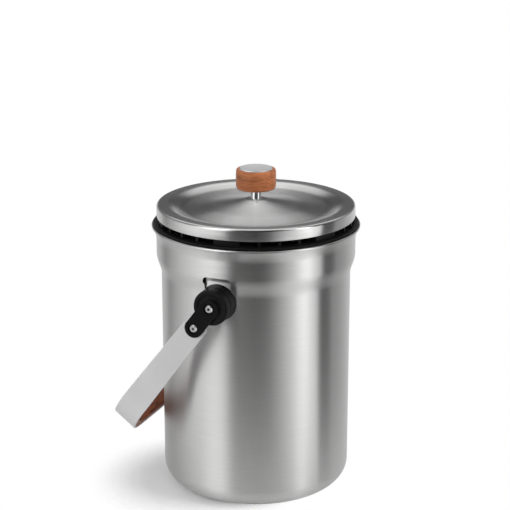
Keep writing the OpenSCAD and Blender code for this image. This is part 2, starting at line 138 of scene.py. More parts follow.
def eased(corners, closed=True, n=6, support=0.12):
    """Section through corners (r, z, ease): each corner is replaced by an arc of radius ease that touches both sides.
    The arc's centre lies at p + (u + v) / |u + v| * ease / sin(h), where u and v point along the sides and h is half
    the angle between them."""
    pts = np.array([c[:2] for c in corners], float)
    out = []
    for k, (p, ease) in enumerate(zip(pts, [c[2] for c in corners])):
        if ease <= 0 or (not closed and k in (0, len(pts) - 1)):
            out.append(p[None])
            continue
        u, v = pts[k - 1] - p, pts[(k + 1) % len(pts)] - p
        u, v = u / np.linalg.norm(u), v / np.linalg.norm(v)
        h = np.arccos(np.clip(u @ v, -1, 1)) / 2
        reach = ease / np.tan(h)
        c = p + (u + v) / np.linalg.norm(u + v) * ease / np.sin(h)
        s, e = p + u * reach - c, p + v * reach - c
        a0 = np.arctan2(s[1], s[0])
        turn = (np.arctan2(e[1], e[0]) - a0 + pi) % (2 * pi) - pi
        a = a0 + turn * np.linspace(0, 1, n)
        ring = c + ease * np.stack([np.cos(a), np.sin(a)], -1)
        out += [(p + u * (reach + support))[None], ring, (p + v * (reach + support))[None]]
    return np.concatenate(out)


# %% Turned pieces
def around(r, z, a):
    """Points (r cos a, r sin a, z). Columns r and z against a row of angles a give a grid."""
    return np.stack(np.broadcast_arrays(r * np.cos(a), r * np.sin(a), z), -1)


def whole_turn(n):
    """Angles 2 pi k / n."""
    return np.arange(n) * 2 * pi / n


def turned(name, section, angles=256, sharp=32):
    """Surface of revolution P(i, j) = (r_i cos a_j, r_i sin a_j, z_i). A section that starts and ends on the axis is
    open there and closes in two poles; any other section is a closed loop."""
    grid = around(section[:, 0, None], section[:, 1, None], whole_turn(angles))
    return skin(name, grid, wrap_rows=section[0, 0] > 1e-9 or section[-1, 0] > 1e-9, sharp=sharp)


# %% [markdown]
# ## A piece's place in the model
# A mesh alone doesn't move with the caddy.

# %% Body, slot and solids
def wear(piece, body, slot, *nodes):
    """The piece rides on its body and stands for these solids, which it hides. The slot is not used."""
    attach(piece, body)
    if nodes:
        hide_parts(*nodes)
    return piece


# %% [markdown]
# ## The pail's section
# The pail is drawn from one disc: a dished base on a narrow foot ring, a round corner, a straight wall, a smooth
# shoulder out to the collar, and a lip that flares into a rolled bead. Inside the collar a fine bead is pressed for
# the lid. Outside and inside are 1 mm apart, so the section goes up the outside and comes back down the inside.

# %% Pail section
def shoulder_r(z):
    """Radius R + g (1 - cos(pi t)) / 2 of the shoulder, t being the share of its height."""
    return BODY_R + (COLLAR_R - BODY_R) * (1 - np.cos(pi * (z - SHOULDER_Z) / (COLLAR_Z - SHOULDER_Z))) / 2


def pail_outside(n=40):
    """Outer wall from the middle of the base to the rim; the lip is r = Rc + 3.6 t^1.6 over its height."""
    z = np.linspace(SHOULDER_Z, COLLAR_Z, 25)
    shoulder = np.stack([shoulder_r(z), z], -1)
    t = np.linspace(0, 0.9, 14)
    lip = np.stack([COLLAR_R + 3.6 * t ** 1.6, LIP_Z + 10.6 * t], -1)
    foot = BODY_R - CORNER_R
    base = np.array([[0, DISH], [30, DISH], [FOOT_IN - 8, DISH], [FOOT_IN - 6, DISH * 0.93], [FOOT_IN - 4, DISH * 0.69],
                     [FOOT_IN - 2, DISH * 0.25], [FOOT_IN - 0.5, 0.02], [FOOT_IN + 0.5, 0], [foot - 0.4, 0]])
    wall = np.stack([np.full(n, BODY_R), np.linspace(CORNER_R + 0.5, SHOULDER_Z - 0.5, n)], -1)
    collar = np.stack([np.full(6, COLLAR_R), np.linspace(COLLAR_Z + 0.6, LIP_Z - 0.6, 6)], -1)
    return np.concatenate([base, arc(foot, CORNER_R, CORNER_R, -90, 0, 20), wall, shoulder, collar, lip])


def inset(path, d):
    """The path moved d to its left: p + d n, with n the unit normal of the chord through both neighbours."""
    chord = np.gradient(path, axis=0)
    chord /= np.linalg.norm(chord, axis=1)[:, None]
    moved = path + d * np.stack([-chord[:, 1], chord[:, 0]], -1)
    moved[:, 0] = np.maximum(moved[:, 0], 0)
    return moved


outside = pail_outside()
inside = inset(outside, WALL)[::-1]
bead = arc(RIM_R - BEAD_R, PAIL_H - BEAD_R, BEAD_R, -84, 214, 26)
LEDGE_Z = 225.8
ledge = arc(COLLAR_R - WALL + 0.35, LEDGE_Z, 1.6, 102, 258, 15)
above, below = inside[inside[:, 1] > LEDGE_Z + 1.8], inside[inside[:, 1] < LEDGE_Z - 1.8]
pail_section = np.concatenate([outside, bead, above, ledge, below])
print("pail section:", len(pail_section), "points")

# %% [markdown]
# ## The handle seats
# Under each side of the collar an arch is pierced through the shoulder, and a tongue of the wall goes straight up
# behind it, so that the handle's drum has an upright seat. The pail is turned whole, and then a block the shape of
# the arch is taken out on each side with a Boolean.

# %% Pierce the arches
def arch_outline(half, z0, z1, r):
    """Half width w(z) of a panel with rounded top corners: half - r + sqrt(r^2 - (z - z1 + r)^2) in the corners."""
    z = np.concatenate([[z0], z1 - r + r * np.sin(np.linspace(0, pi / 2, 9))])
    w = half - r + np.sqrt(np.maximum(r * r - np.maximum(z - z1 + r, 0) ** 2, 0))
    return z, w


def arch_block(name, side, y0=70.0, y1=100.0, hub=213.0):
    """Straight prism of the arch between y0 and y1 on one side. Its end faces run in to a point at the height hub."""
    z, w = arch_outline(SLOT_W / 2, SHOULDER_Z, SLOT_TOP, 4.0)
    x = np.concatenate([-w, w[::-1]])
    zz = np.concatenate([z, z[::-1]])
    rings = [np.stack([x * k, np.full_like(x, side * y), zz if k else np.full_like(zz, hub)], -1)
             for y, k in ((y0, 0), (y0, 1), (y1, 1), (y1, 0))]
    return skin(name, np.stack(rings))


pail = turned("pail", pail_section, 320)
for side in (-1, 1):
    block = arch_block("arch_block", side)
    cut = pail.modifiers.new("arch", "BOOLEAN")
    cut.operation, cut.object, cut.solver = "DIFFERENCE", block, "EXACT"
    bpy.context.view_layer.objects.active = pail
    pail.select_set(True)
    bpy.ops.object.modifier_apply(modifier=cut.name)
    bpy.data.objects.remove(block)
print("pierced pail:", len(pail.data.polygons), "faces")

# %% [markdown]
# ## Tongue and cheeks
# The tongue fills the arch but for a slit round its top, and its free edge is bent out under the collar, which is
# how a lanced edge looks. Beside it, two narrow cheeks close the step between the body's wall and the shoulder. They
# are set in as curved panels, because a second Boolean would leave worse faces than these grids.

# %% Tongue and cheeks
def border(grid):
    """The outermost points of a grid as one closed loop."""
    return np.concatenate([grid[:, 0], grid[-1, 1:], grid[-2::-1, -1], grid[0, -2:0:-1]])


def panel(name, x, z, r_out, r_in, side):
    """Curved panel P = (x, side sqrt(r^2 - x^2), z) with an outer and an inner face, closed round its edge."""
    outer, inner = [np.stack([x, side * np.sqrt(r * r - x * x), z], -1) for r in (r_out, r_in)]
    return [skin(name + "_out", outer, wrap_cols=False), skin(name + "_in", inner, wrap_cols=False),
            skin(name + "_edge", np.stack([border(outer), border(inner)]))]


def tip(row):
    """Every point of a ring at its middle, which closes the end of a tube."""
    return np.repeat(row.mean(0)[None], len(row), 0)[None]


def cheek(side, x0, x1, n=10):
    """Upright strip between the planes x0 and x1, from just inside the body's wall out to the shoulder."""
    z = np.linspace(SHOULDER_Z + 0.2, SLIT_END, n)
    edges = [(x0, BODY_R - 0.5 + 0 * z), (x0, shoulder_r(z)), (x1, shoulder_r(z)), (x1, BODY_R - 0.5 + 0 * z)]
    tube = np.stack([np.stack([0 * z + x, side * np.sqrt(r * r - x * x), z], -1) for x, r in edges], 1)
    return skin("cheek", np.concatenate([tip(tube[0]), tube, tip(tube[-1])]))


TONGUE_W, FOOT_W, TONGUE_TOP, BENT_FROM, BEND = 22.6, 27.2, 223.0, 219.4, 1.05
z, w = arch_outline(TONGUE_W / 2, 218.0, TONGUE_TOP, 1.2)
z = np.concatenate([[SHOULDER_Z - 0.5, 208, 212, 214.6], z])
w = np.concatenate([[FOOT_W / 2] * 4, w])[:, None]
bent = BEND * np.maximum(z - BENT_FROM, 0)[:, None]
u = np.linspace(-1, 1, 21)[None]
parts = [pail]
for side in (-1, 1):
    parts += panel("tongue", u * w, z[:, None] + 0 * u, BODY_R + bent, BODY_R - WALL + bent, side)
    parts += [cheek(side, s * 12.5, s * 13.5) for s in (-1, 1)]
pail = joined(parts, "pail", 30)
wear(pail, "pail", "brushed_steel", "pail_shell")

# %% [markdown]
# ## The lid's top shell
# The top is spun: an outer ring, a shallow valley, and a low cone that rises to the post. Its edge turns down into
# an upright apron, and the apron's foot is hemmed inwards. One section and one turn make all of it.

# %% Lid shell
def lid_top(r, valley=VALLEY_R, ring_in=82.3, dip=VALLEY_D, rise=RISE, crown=8.9):
    """Cone z = ring - dip + (rise + dip) ((valley - r) / (valley - crown))^1.25, then the valley's outer side
    z = ring - dip (1 + cos(pi t)) / 2, with t running from the valley to the ring."""
    cone = RING_Z - dip + (rise + dip) * np.clip((valley - r) / (valley - crown), 0, 1) ** 1.25
    t = np.clip((r - valley) / (ring_in - valley), 0, 1)
    return np.where(r < valley, cone, RING_Z - dip * (1 + np.cos(pi * t)) / 2)


r_top = np.concatenate([np.linspace(9.3, 60, 26), np.linspace(61, 84, 30), [86, 88.5]])
top = np.stack([r_top, lid_top(r_top)], -1)
seat = np.array([[2.7, CROWN_Z], [6.0, CROWN_Z], [8.6, CROWN_Z - 0.01], [8.9, CROWN_Z - 0.03]])
EDGE_R = 2.2
edge = arc(SHELL_R - EDGE_R, RING_Z - EDGE_R, EDGE_R, 90, 0, 12)
apron = np.array([[SHELL_R, RING_Z - 2.5], [SHELL_R, 263.0], [SHELL_R, APRON_Z + 0.6]])
path = np.concatenate([seat, top, edge, apron])
under = inset(path, -LID_T)[::-1]
hem = np.array([[SHELL_R - 0.12, APRON_Z + 0.15], [SHELL_R - 0.4, APRON_Z], [89.7, APRON_Z], [89.5, APRON_Z + 0.2],
                [89.5, APRON_Z + 0.7], [89.7, APRON_Z + 0.85], [90.3, APRON_Z + 0.85], [90.5, APRON_Z + 1.0]])
lid_shell = turned("lid_top", np.concatenate([path, hem, under]), 320)
wear(lid_shell, "lid", "brushed_steel", "lid_shell")

# %% [markdown]
# ## The lid's skirt
# The skirt is a plain ring whose lower edge rolls inwards. Four small dimples are punched into it, and they catch
# the liner inside. A dimple is a dent of the surface itself, so the columns of the grid stand closer together there.

# %% Skirt with dimples
def close_columns(count, bearings, width, step):
    """Angles all round, with extra ones at a step of arc within width of each bearing."""
    extra = [np.radians(b) + np.arange(-width, width + step / 2, step) / SKIRT_R for b in bearings]
    return np.unique(np.round(np.concatenate([whole_turn(count)] + extra) % (2 * pi), 6))


def dent(grid, bearings, z0, radius=2.4, depth=0.8):
    """Moves points inwards by depth - (radius - sqrt(radius^2 - d^2)), d being their distance from a dimple."""
    a, r = np.arctan2(grid[..., 1], grid[..., 0]), np.hypot(grid[..., 0], grid[..., 1])
    for b in bearings:
        off = (a - radians(b) + pi) % (2 * pi) - pi
        d = np.hypot(off * SKIRT_R, grid[..., 2] - z0)
        push = depth - (radius - np.sqrt(np.maximum(radius ** 2 - d * d, 0)))
        r = r - np.where((d < radius) & (push > 0), push, 0) * (r > SKIRT_R - 3)
    return around(r, grid[..., 2], a)


DIMPLES, DIMPLE_Z = [9 + 90 * k for k in range(4)], SKIRT_Z + ROLL_R + 2
wall_z = np.concatenate([[SEAT_Z, SEAT_Z - 0.3], np.arange(SEAT_Z - 1, DIMPLE_Z + 2.4, -0.9),
                         np.arange(DIMPLE_Z + 2.2, SKIRT_Z + ROLL_R + 0.1, -0.2)])
skirt_path = np.concatenate([np.stack([np.full_like(wall_z, SKIRT_R), wall_z], -1),
                             arc(SKIRT_R - ROLL_R, SKIRT_Z + ROLL_R, ROLL_R, 0, -90, 20)])
inner = inset(skirt_path, -LID_T)[::-1]
mouth = SKIRT_R - ROLL_R
section = np.concatenate([skirt_path, [[mouth - 0.25, SKIRT_Z + 0.15], [mouth - 0.25, SKIRT_Z + 0.65]], inner])
grid = around(section[:, 0, None], section[:, 1, None], close_columns(256, DIMPLES, 2.6, 0.2))
skirt = skin("lid_skirt_ring", dent(grid, DIMPLES, DIMPLE_Z), wrap_rows=True)
wear(skirt, "lid", "brushed_steel", "lid_skirt")

# %% [markdown]
# ## Gasket
# A soft black ring lies under the vents with a round lip that rests on the pail's rolled rim. Its section is a
# short closed loop, so the same turning helper makes it.

# %% Gasket
gasket_section = eased([(90.2, SEAT_Z + 2.5, 0.3), (90.2, SEAT_Z + 0.95, 0), (91.1, SEAT_Z + 0.95, 0),
                        (91.1, SEAT_Z, 0), (94.2, SEAT_Z, 0.8), (94.2, SEAT_Z + 2.2, 0.9), (92.2, SEAT_Z + 2.5, 0.4)])
gasket = turned("gasket_ring", gasket_section, 256)
wear(gasket, "lid", "soft_black", "lid_gasket")

# %% [markdown]
# ## Knob
# The knob is turned wood: a flat drum with well rounded rims and a hardly visible swell. A thin brushed steel disc
# is let into its top, and a polished post carries it.

# %% Knob
kz, kt = KNOB_Z, KNOB_Z + KNOB_H
TOP_ROUND, DISC_R, DISC_T = 1.7, CAP_R + 0.9, 1.4
t = np.linspace(0.2, 0.8, 7)
belly = np.stack([KNOB_R + 0.25 * (1 - (2 * t - 1) ** 2), kz + KNOB_H * t], -1)
knob_section = np.concatenate([
    [[POST_R - 0.9, kz], [9.0, kz], [14.0, kz]],
    arc(KNOB_R - KNOB_ROUND, kz + KNOB_ROUND, KNOB_ROUND, -90, 0, 12), belly,
    arc(KNOB_R - TOP_ROUND, kt - TOP_ROUND, TOP_ROUND, 0, 90, 12),
    [[DISC_R + 0.5, kt], [DISC_R + 0.2, kt - 0.05], [DISC_R + 0.06, kt - 0.25], [DISC_R + 0.06, kt - DISC_T],
     [8.0, kt - DISC_T], [0.0, kt - DISC_T], [0.0, kz + 7.3], [POST_R - 0.9, kz + 7.3]]])
knob = turned("wood_knob", knob_section, 160)
wear(knob, "lid", "knob_wood", "knob")

# %% [markdown]
# ## The knob's disc and post
# The disc is dished by less than a millimetre, as a stamped cap is, which lets it catch the light along its far
# edge. These three small pieces are kept out of what other pieces mirror: the lid lies right under them, and their
# long reflections in its brushed cone would hide its shape.

# %% Disc and post
r = np.linspace(DISC_R - 0.4, 0, 16)
disc_section = np.concatenate([[[0, kt - 1.35], [DISC_R - 0.05, kt - 1.35], [DISC_R, kt - 0.3], [DISC_R, kt + 0.5],
                                [DISC_R - 0.12, kt + 0.85]],
                               np.stack([r, kt + 0.15 + 0.8 * (r / DISC_R) ** 2], -1)])
knob_disc = turned("knob_disc", disc_section, 160)
wear(knob_disc, "lid", "brushed_steel", "knob_cap")
post_section = eased([(0, CROWN_Z, 0), (POST_R, CROWN_Z, 0.25), (POST_R, kz, 0), (POST_R - 1, kz, 0),
                      (POST_R - 1, kz + 7, 0.3), (0, kz + 7, 0)], closed=False)
post = turned("knob_stem", post_section, 96)
wear(post, "lid", "polished_post", "knob_post")
for piece in (knob, knob_disc, post):
    piece.visible_glossy = False

# %% [markdown]
# ## The handle's own frame
# The handle is easiest to draw upright: axle at the origin, arms straight down, crossbar below. One turn about the
# axle then hangs it against the pail's wall, as it rests.

# %% Hanging the handle
def hung(p):
    """Turns points by the hang angle about the axle: x' = x cos h + z sin h, z' = z cos h - x sin h + axle height."""
    x, y, z = p[..., 0], p[..., 1], p[..., 2]
    return np.stack([x * cos(HANG) + z * sin(HANG), y, z * cos(HANG) - x * sin(HANG) + PIVOT_Z], -1)


def u_path(inset_by, z_top, wrap=90.0, n=28):
    """Points, outward normals and lengths along the U: straight arm, quarter bend, crossbar, bend, arm. wrap is how
    many degrees of each bend are followed; below 90 the arms are left out."""
    r, yc, zc = BEND_R - inset_by, STRAP_OUT - BEND_R, -(REACH - BEND_R)
    a = np.radians(np.linspace(180 if wrap == 90 else 270 - wrap, 270, n))
    bend = np.stack([-yc + r * np.cos(a), zc + r * np.sin(a)], -1)
    normal = np.stack([np.cos(a), np.sin(a)], -1)
    if wrap == 90:
        arm_z = np.concatenate([z_top - np.array([0, 0.8, 1.6, 2.4, 3.0]), np.linspace(z_top - 4, zc + 1, 30)])
        arm = np.stack([np.full_like(arm_z, -yc - r), arm_z], -1)
        bend = np.concatenate([arm, bend])
        normal = np.concatenate([np.tile([-1.0, 0.0], (len(arm), 1)), normal])
    half = np.linspace(-yc + 1, -1, 24)
    bar = np.stack([half, np.full_like(half, zc - r)], -1)
    p = np.concatenate([bend, bar])
    m = np.concatenate([normal, np.tile([0.0, -1.0], (len(bar), 1))])
    p = np.concatenate([p, p[::-1] * [-1, 1]])
    m = np.concatenate([m, m[::-1] * [-1, 1]])
    s = np.concatenate([[0], np.cumsum(np.linalg.norm(np.diff(p, axis=0), axis=1))])
    return p, m, s


def swept(name, path, normal, section, widen, sharp=40):
    """Sweep P(i, j) = path_i + x_j widen_i X + d_j normal_i, with section points (x_j, d_j); the ends are capped."""
    x = section[None, :, 0] * widen[:, None]
    y = path[:, None, 0] + section[None, :, 1] * normal[:, None, 0]
    z = path[:, None, 1] + section[None, :, 1] * normal[:, None, 1]
    g = np.stack([x, y, z], -1)
    g = np.concatenate([tip(g[0]), g, tip(g[-1])])
    return skin(name, hung(g), sharp=sharp)


# %% [markdown]
# ## Strap
# The strap is one flat strip of steel bent to a U. It is 2 mm thick, it widens from the links to the crossbar, and
# its edges are broken with a file. Its section is a thin rectangle with small arcs, swept along the U.

# %% Strap
STRAP_TOP, ROUND_END = -17.5, -20.5
p, m, _ = u_path(0.0, STRAP_TOP)
share = np.clip(np.abs(p[:, 1] - ROUND_END) / (REACH - BEND_R + ROUND_END), 0, 1)
half = np.where(p[:, 1] > ROUND_END, ARM_W / 2 - 3 * np.clip((p[:, 1] - ROUND_END) / 3, 0, 1),
                ARM_W / 2 + (STRAP_W - ARM_W) / 2 * share)


def strap_ring(ease=0.45, n=5):
    """Rounded rectangle one wide and STRAP_T deep, its corners eased by ease in mm at a half width of 12 mm."""
    c = eased([(-12, 0, ease), (12, 0, ease), (12, -STRAP_T, ease), (-12, -STRAP_T, ease)], n=n, support=0.3)
    return np.stack([c[:, 0] / 12, c[:, 1]], -1)


strap = swept("steel_strap", p, m, strap_ring(), half)
wear(strap, "handle", "satin_steel", "handle_strap")

# %% [markdown]
# ## Grip
# A strip of dark wood lines the inside of the strap. It follows the crossbar and part of each bend, is flat against
# the steel, and its two inner edges are rounded for the fingers. Three screws through the strap hold it. Over its
# last 1.2 mm each end narrows along a quarter circle, as sandpaper leaves it.

# %% Grip
gp, gm, gs = u_path(STRAP_T + 0.05, 0, wrap=56.0, n=26)
half_grip = STRAP_W / 2 - 0.5
grip_ring = eased([(-half_grip, 0, 0.35), (half_grip, 0, 0.35), (half_grip, -GRIP_T, GRIP_ROUND),
                   (-half_grip, -GRIP_T, GRIP_ROUND)], n=8, support=0.4)
grip_ends = np.clip(np.minimum(gs, gs[-1] - gs) / 1.2, 0, 1)
grip = swept("wood_grip", gp, gm, grip_ring, 0.965 + 0.035 * np.sqrt(1 - (1 - grip_ends) ** 2))
wear(grip, "handle", "grip_wood", "handle_grip")

# %% [markdown]
# ## Drums
# Between each link and the wall stands a moulded drum: a front flange with a fine step, a groove, and a barrel that
# widens a little where it meets the pail. It is turned about the axle, and a formula trims its back to the wall.

# %% Drums
def drum(name, side, n=160, wall_r=BODY_R + 0.12):
    """Rings P = (r cos a, side y, axle + r sin a); on the back y = off + sqrt(wall_r^2 - x^2)."""
    a = whole_turn(n)
    front = [(2.25, 0.0), (2.6, 0.0), (9.0, 0.0), (9.2, 0.05), (9.4, 0.3), (9.6, 0.35), (11.6, 0.35), (11.8, 0.3),
             (12.0, 0.05), (12.2, 0.0), (15.0, 0.0), (15.35, 0.05), (15.7, 0.25), (16.0, 0.6), (16.15, 1.0),
             (BOSS_R, 1.5), (BOSS_R, 6.9), (16.1, 7.3), (15.7, 7.5), (15.5, 7.8), (15.7, 8.1), (16.1, 8.3),
             (BOSS_R, 8.8), (BOSS_R + 0.05, 12.0)]
    rings = [np.stack([r * np.cos(a), side * (BOSS_FACE - d) + 0 * a, PIVOT_Z + r * np.sin(a)], -1) for r, d in front]
    for r, off in ((16.3, 2.0), (16.5, 0.8), (16.9, 0.0), (16.0, 0.0), (8.0, 0.0), (2.25, 0.0)):
        x = r * np.cos(a)
        rings.append(np.stack([x, side * (off + np.sqrt(wall_r ** 2 - x * x)), PIVOT_Z + r * np.sin(a)], -1))
    return skin(name, np.stack(rings), wrap_rows=True)


drums = [wear(drum(f"{label}_drum", side), "pail", "black_plastic", f"{label}_boss")
         for side, label in ((-1, "front"), (1, "rear"))]

# %% [markdown]
# ## Charcoal foam
# The filter is open-cell foam full of charcoal grains. Its skin is a disc mapped from a square grid, so that its
# cells are the same size all over, and every point is pushed in and out by its distance to scattered grain centres.

# %% Grain field
def grain_field(p, cell=2.3, seed=7):
    """Distance from each point to the nearest of one jittered centre per cube of side cell, over that side, found by
    looking into the 27 cubes around; and a random shade for that nearest grain."""
    rng = np.random.default_rng(seed)
    table = rng.random((64, 64, 64, 4))
    base = np.floor(p / cell).astype(int)
    best, shade = np.full(len(p), 9.0), np.zeros(len(p))
    for d in np.stack(np.meshgrid(*[[-1, 0, 1]] * 3, indexing="ij"), -1).reshape(-1, 3):
        k = base + d
        jitter = table[tuple((k % 64).T)]
        dist = np.linalg.norm(p - (k + 0.15 + 0.7 * jitter[:, :3]) * cell, axis=1) / cell
        nearer = dist < best
        best, shade = np.where(nearer, dist, best), np.where(nearer, jitter[:, 3], shade)
    return best, shade

# %% [markdown]
# ## Foam disc
# A disc of rings and spokes would crowd its cells at the middle. A square grid bent to a circle doesn't, so the
# grains come out alike everywhere. Top, bottom and rim are joined first, and then one formula moves every point.

# %% Foam disc
def disc_grid(n, radius):
    """Square [-1, 1]^2 to a disc without a pole: x = u sqrt(1 - v^2/2), y = v sqrt(1 - u^2/2)."""
    u, v = np.meshgrid(np.linspace(-1, 1, n), np.linspace(-1, 1, n), indexing="ij")
    x, y = u * np.sqrt(1 - v * v / 2), v * np.sqrt(1 - u * u / 2)
    return x * radius, y * radius


def foam_disc(name, radius=80.8, z0=239.9, z1=249.7, edge=2.2, n=268):
    """Top and bottom discs joined by a rounded rim; every point moves along its normal by 2.6 (0.56 - coarse) +
    0.7 (0.5 - fine), where coarse and fine are its distances to the grains of two fields."""
    flat = radius - edge
    x, y = disc_grid(n, flat)
    bearing = np.arctan2(border(y), border(x))
    t = np.radians(np.linspace(90, 0, 8))
    mid = np.linspace(z1 - edge, z0 + edge, 13)[1:-1]
    curve, lift = flat + edge * np.cos(t), edge * (1 - np.sin(t))
    r = np.concatenate([curve, np.full(len(mid), radius), curve[::-1]])[:, None]
    z = np.concatenate([z1 - lift, mid, (z0 + lift)[::-1]])[:, None]
    rim = around(r, z, bearing)
    faces = [np.stack([x, y, np.full_like(x, z1)], -1), np.stack([x, y, np.full_like(x, z0)], -1), rim]
    obj = joined([skin(f"{name}_{k}", g, wrap_cols=k == 2) for k, g in enumerate(faces)], name, 180)
    count = len(obj.data.vertices)
    co, no = np.empty(count * 3), np.empty(count * 3)
    obj.data.vertices.foreach_get("co", co)
    obj.data.vertex_normals.foreach_get("vector", no)
    co, no = co.reshape(-1, 3) * 1000, no.reshape(-1, 3)
    dist, shade = grain_field(co)
    fine, _ = grain_field(co, 1.1, 11)
    co = co + no * (2.6 * (0.56 - dist) + 0.7 * (0.5 - fine))[:, None]
    obj.data.vertices.foreach_set("co", (co / 1000).ravel())
    for label, values in (("depth", np.clip(dist, 0, 1)), ("shade", shade)):
        layer = obj.data.attributes.new(label, "FLOAT", "POINT")
        layer.data.foreach_set("value", values.astype(np.float32))
    obj.data.update()
    return obj


foam = foam_disc("foam_disc")
wear(foam, "filter", "charcoal_foam", "charcoal_filter")
print("foam:", len(foam.data.polygons), "faces")

# %% [markdown]
# ## A short way to write materials
# A material is a chain of nodes. These helpers add a node, set its inputs and link others, so that each finish
# below reads as a recipe.

# %% Materials and nodes
def finish_named(name):
    """A new material, its tree and its main shader."""
    mat = bpy.data.materials.new(name)
    mat.use_nodes = True
    print("finish:", name)
    return mat, mat.node_tree, mat.node_tree.nodes["Principled BSDF"]


def put(tree, socket, value):
    """Links a socket to another, or sets it to a constant."""
    if isinstance(value, bpy.types.NodeSocket):
        tree.links.new(value, socket)
    else:
        socket.default_value = value


def fill(tree, n, **inputs):
    """Sets or links each input that a keyword names, with _ for a blank; other keywords are the node's properties."""
    for key, value in inputs.items():
        label = key.replace("_", " ")
        if label in n.inputs:
            put(tree, n.inputs[label], value)
        else:
            setattr(n, key, value)
    return n


def node(tree, kind, **inputs):
    """Adds a node and fills it."""
    return fill(tree, tree.nodes.new(kind), **inputs)


# %% [markdown]
# ## Sums, steps and mixes
# Most of the nodes only reckon: they add, scale, cut off or mix. Each kind gets a helper that takes numbers and
# other nodes' outputs alike and gives back its own output, so that the helpers nest as a formula does.

# %% Sums, steps and mixes
def maths(tree, operation, a, b=0.0, c=0.0):
    """Sum, product or another function of up to three numbers."""
    n = tree.nodes.new("ShaderNodeMath")
    n.operation = operation
    for socket, value in zip(n.inputs, (a, b, c)):
        put(tree, socket, value)
    return n.outputs[0]


def scaled(tree, value, factor, plus=0.0):
    """factor value + plus."""
    return maths(tree, "MULTIPLY_ADD", value, factor, plus)


def length(tree, a, b):
    """sqrt(a^2 + b^2)."""
    return maths(tree, "SQRT", maths(tree, "ADD", maths(tree, "MULTIPLY", a, a), maths(tree, "MULTIPLY", b, b)))


def to_range(tree, value, low, high, start=0.0, end=1.0, kind="LINEAR"):
    """start where the value is below low, end where it is above high, a straight or smooth step between."""
    n = node(tree, "ShaderNodeMapRange", Value=value, interpolation_type=kind)
    for key, number in (("From Min", low), ("From Max", high), ("To Min", start), ("To Max", end)):
        n.inputs[key].default_value = number
    return n.outputs[0]


def ramp(tree, factor, stops):
    """Colour ramp through (position, colour or grey) stops."""
    n = tree.nodes.new("ShaderNodeValToRGB")
    while len(n.color_ramp.elements) < len(stops):
        n.color_ramp.elements.new(0.5)
    for e, (position, colour) in zip(n.color_ramp.elements, stops):
        e.position = position
        e.color = (*((colour,) * 3 if isinstance(colour, (int, float)) else colour), 1)
    put(tree, n.inputs[0], factor)
    return n.outputs[0]


def blended(tree, share, a, b, kind="MIX"):
    """Colour a where share is 0, and b, or a times b, where it is 1."""
    n = node(tree, "ShaderNodeMix", data_type="RGBA", blend_type=kind)
    for key, value in (("Factor", share), (6, a), (7, b)):
        put(tree, n.inputs[key], value)
    return n.outputs[2]


def either(tree, share, a, b):
    """Shader a where share is 0, shader b where it is 1."""
    n = tree.nodes.new("ShaderNodeMixShader")
    for socket, value in zip(n.inputs, (share, a.outputs[0], b.outputs[0])):
        put(tree, socket, value)
    return n.outputs[0]


# %% [markdown]
# ## Place, noise and relief
# Every pattern here starts from the place on the piece, and most of them from noise at that place. Relief that is
# finer than a tenth of a millimetre is left to bump, which only tilts the light and costs no faces.

# %% Place, noise and relief
def here(tree):
    """The place on the piece, in metres."""
    return node(tree, "ShaderNodeTexCoord").outputs["Object"]


def x_y_z(tree):
    """The same place as three numbers."""
    return node(tree, "ShaderNodeSeparateXYZ", Vector=here(tree)).outputs


def noise(tree, place, scale, detail, **inputs):
    """Cloudy noise around 0.5."""
    return node(tree, "ShaderNodeTexNoise", Vector=place, Scale=scale, Detail=detail, **inputs).outputs["Fac"]


def bump(tree, height, strength, distance):
    """Normals tilted as if the surface rose by distance, in metres, where height rises from 0 to 1."""
    return node(tree, "ShaderNodeBump", Height=height, Strength=strength, Distance=distance).outputs[0]


# %% [markdown]
# ## Brushed steel
# The pail and lid were brushed while they spun, so the scratches run round the axis. Each scratch is long along the
# turn and thin across it. The pattern is a noise in four dimensions: radius and height, which change fast, and the
# cosine and sine of the bearing, which change slowly and close without a seam. Anisotropy does the rest: it
# stretches each reflection across the scratches, which gives the tall soft bands of spun steel. The lid's flat ring
# is brushed less evenly, so the stretch is weaker there.

# %% Brushed steel
def brushed(name, base=(0.63, 0.63, 0.625), rough=0.33, top=None):
    """A fine and a broad layer of scratches round the axis: across is how fast the noise runs with radius and height,
    along how fast it runs with the bearing. Above the height top, in mm, the anisotropy falls from 1 to 0.6."""
    mat, tree, bsdf = finish_named(name)
    x, y, z = x_y_z(tree)
    radius = length(tree, x, y)
    cosine, sine = maths(tree, "DIVIDE", x, radius), maths(tree, "DIVIDE", y, radius)

    def scratches(across, along):
        """Noise at (across r, across z, along cos a, along sin a)."""
        v = node(tree, "ShaderNodeCombineXYZ", X=scaled(tree, radius, across), Y=scaled(tree, z, across),
                 Z=scaled(tree, cosine, along)).outputs[0]
        return noise(tree, v, 1.0, 2.0, noise_dimensions="4D", W=scaled(tree, sine, along))

    lines = maths(tree, "ADD", scaled(tree, scratches(4200.0, 7.0), 0.55), scaled(tree, scratches(900.0, 3.2), 0.45))
    turn = node(tree, "ShaderNodeTangent", direction_type="RADIAL", axis="Z").outputs[0]
    fill(tree, bsdf, Base_Color=ramp(tree, lines, [(0.35, tuple(c * 0.93 for c in base)), (0.62, base)]),
         Roughness=scaled(tree, lines, 0.1, rough - 0.05), Normal=bump(tree, lines, 0.3, 0.00002), Metallic=1.0,
         Anisotropic=1.0, Anisotropic_Rotation=0.25, Tangent=turn)
    if top:
        fill(tree, bsdf, Anisotropic=to_range(tree, z, top / 1000, (top + 1.2) / 1000, 1.0, 0.6))
    return mat


steel = brushed("brushed_steel_round")
lid_steel = brushed("brushed_steel_lid", rough=0.25, top=RING_Z - 1.6)
# Painted shade: the inside's steel colour is a little darker than the outside's.
inside_steel_painted_shade = brushed("brushed_steel_inside_painted_shade", base=(0.58, 0.58, 0.575), rough=0.30)

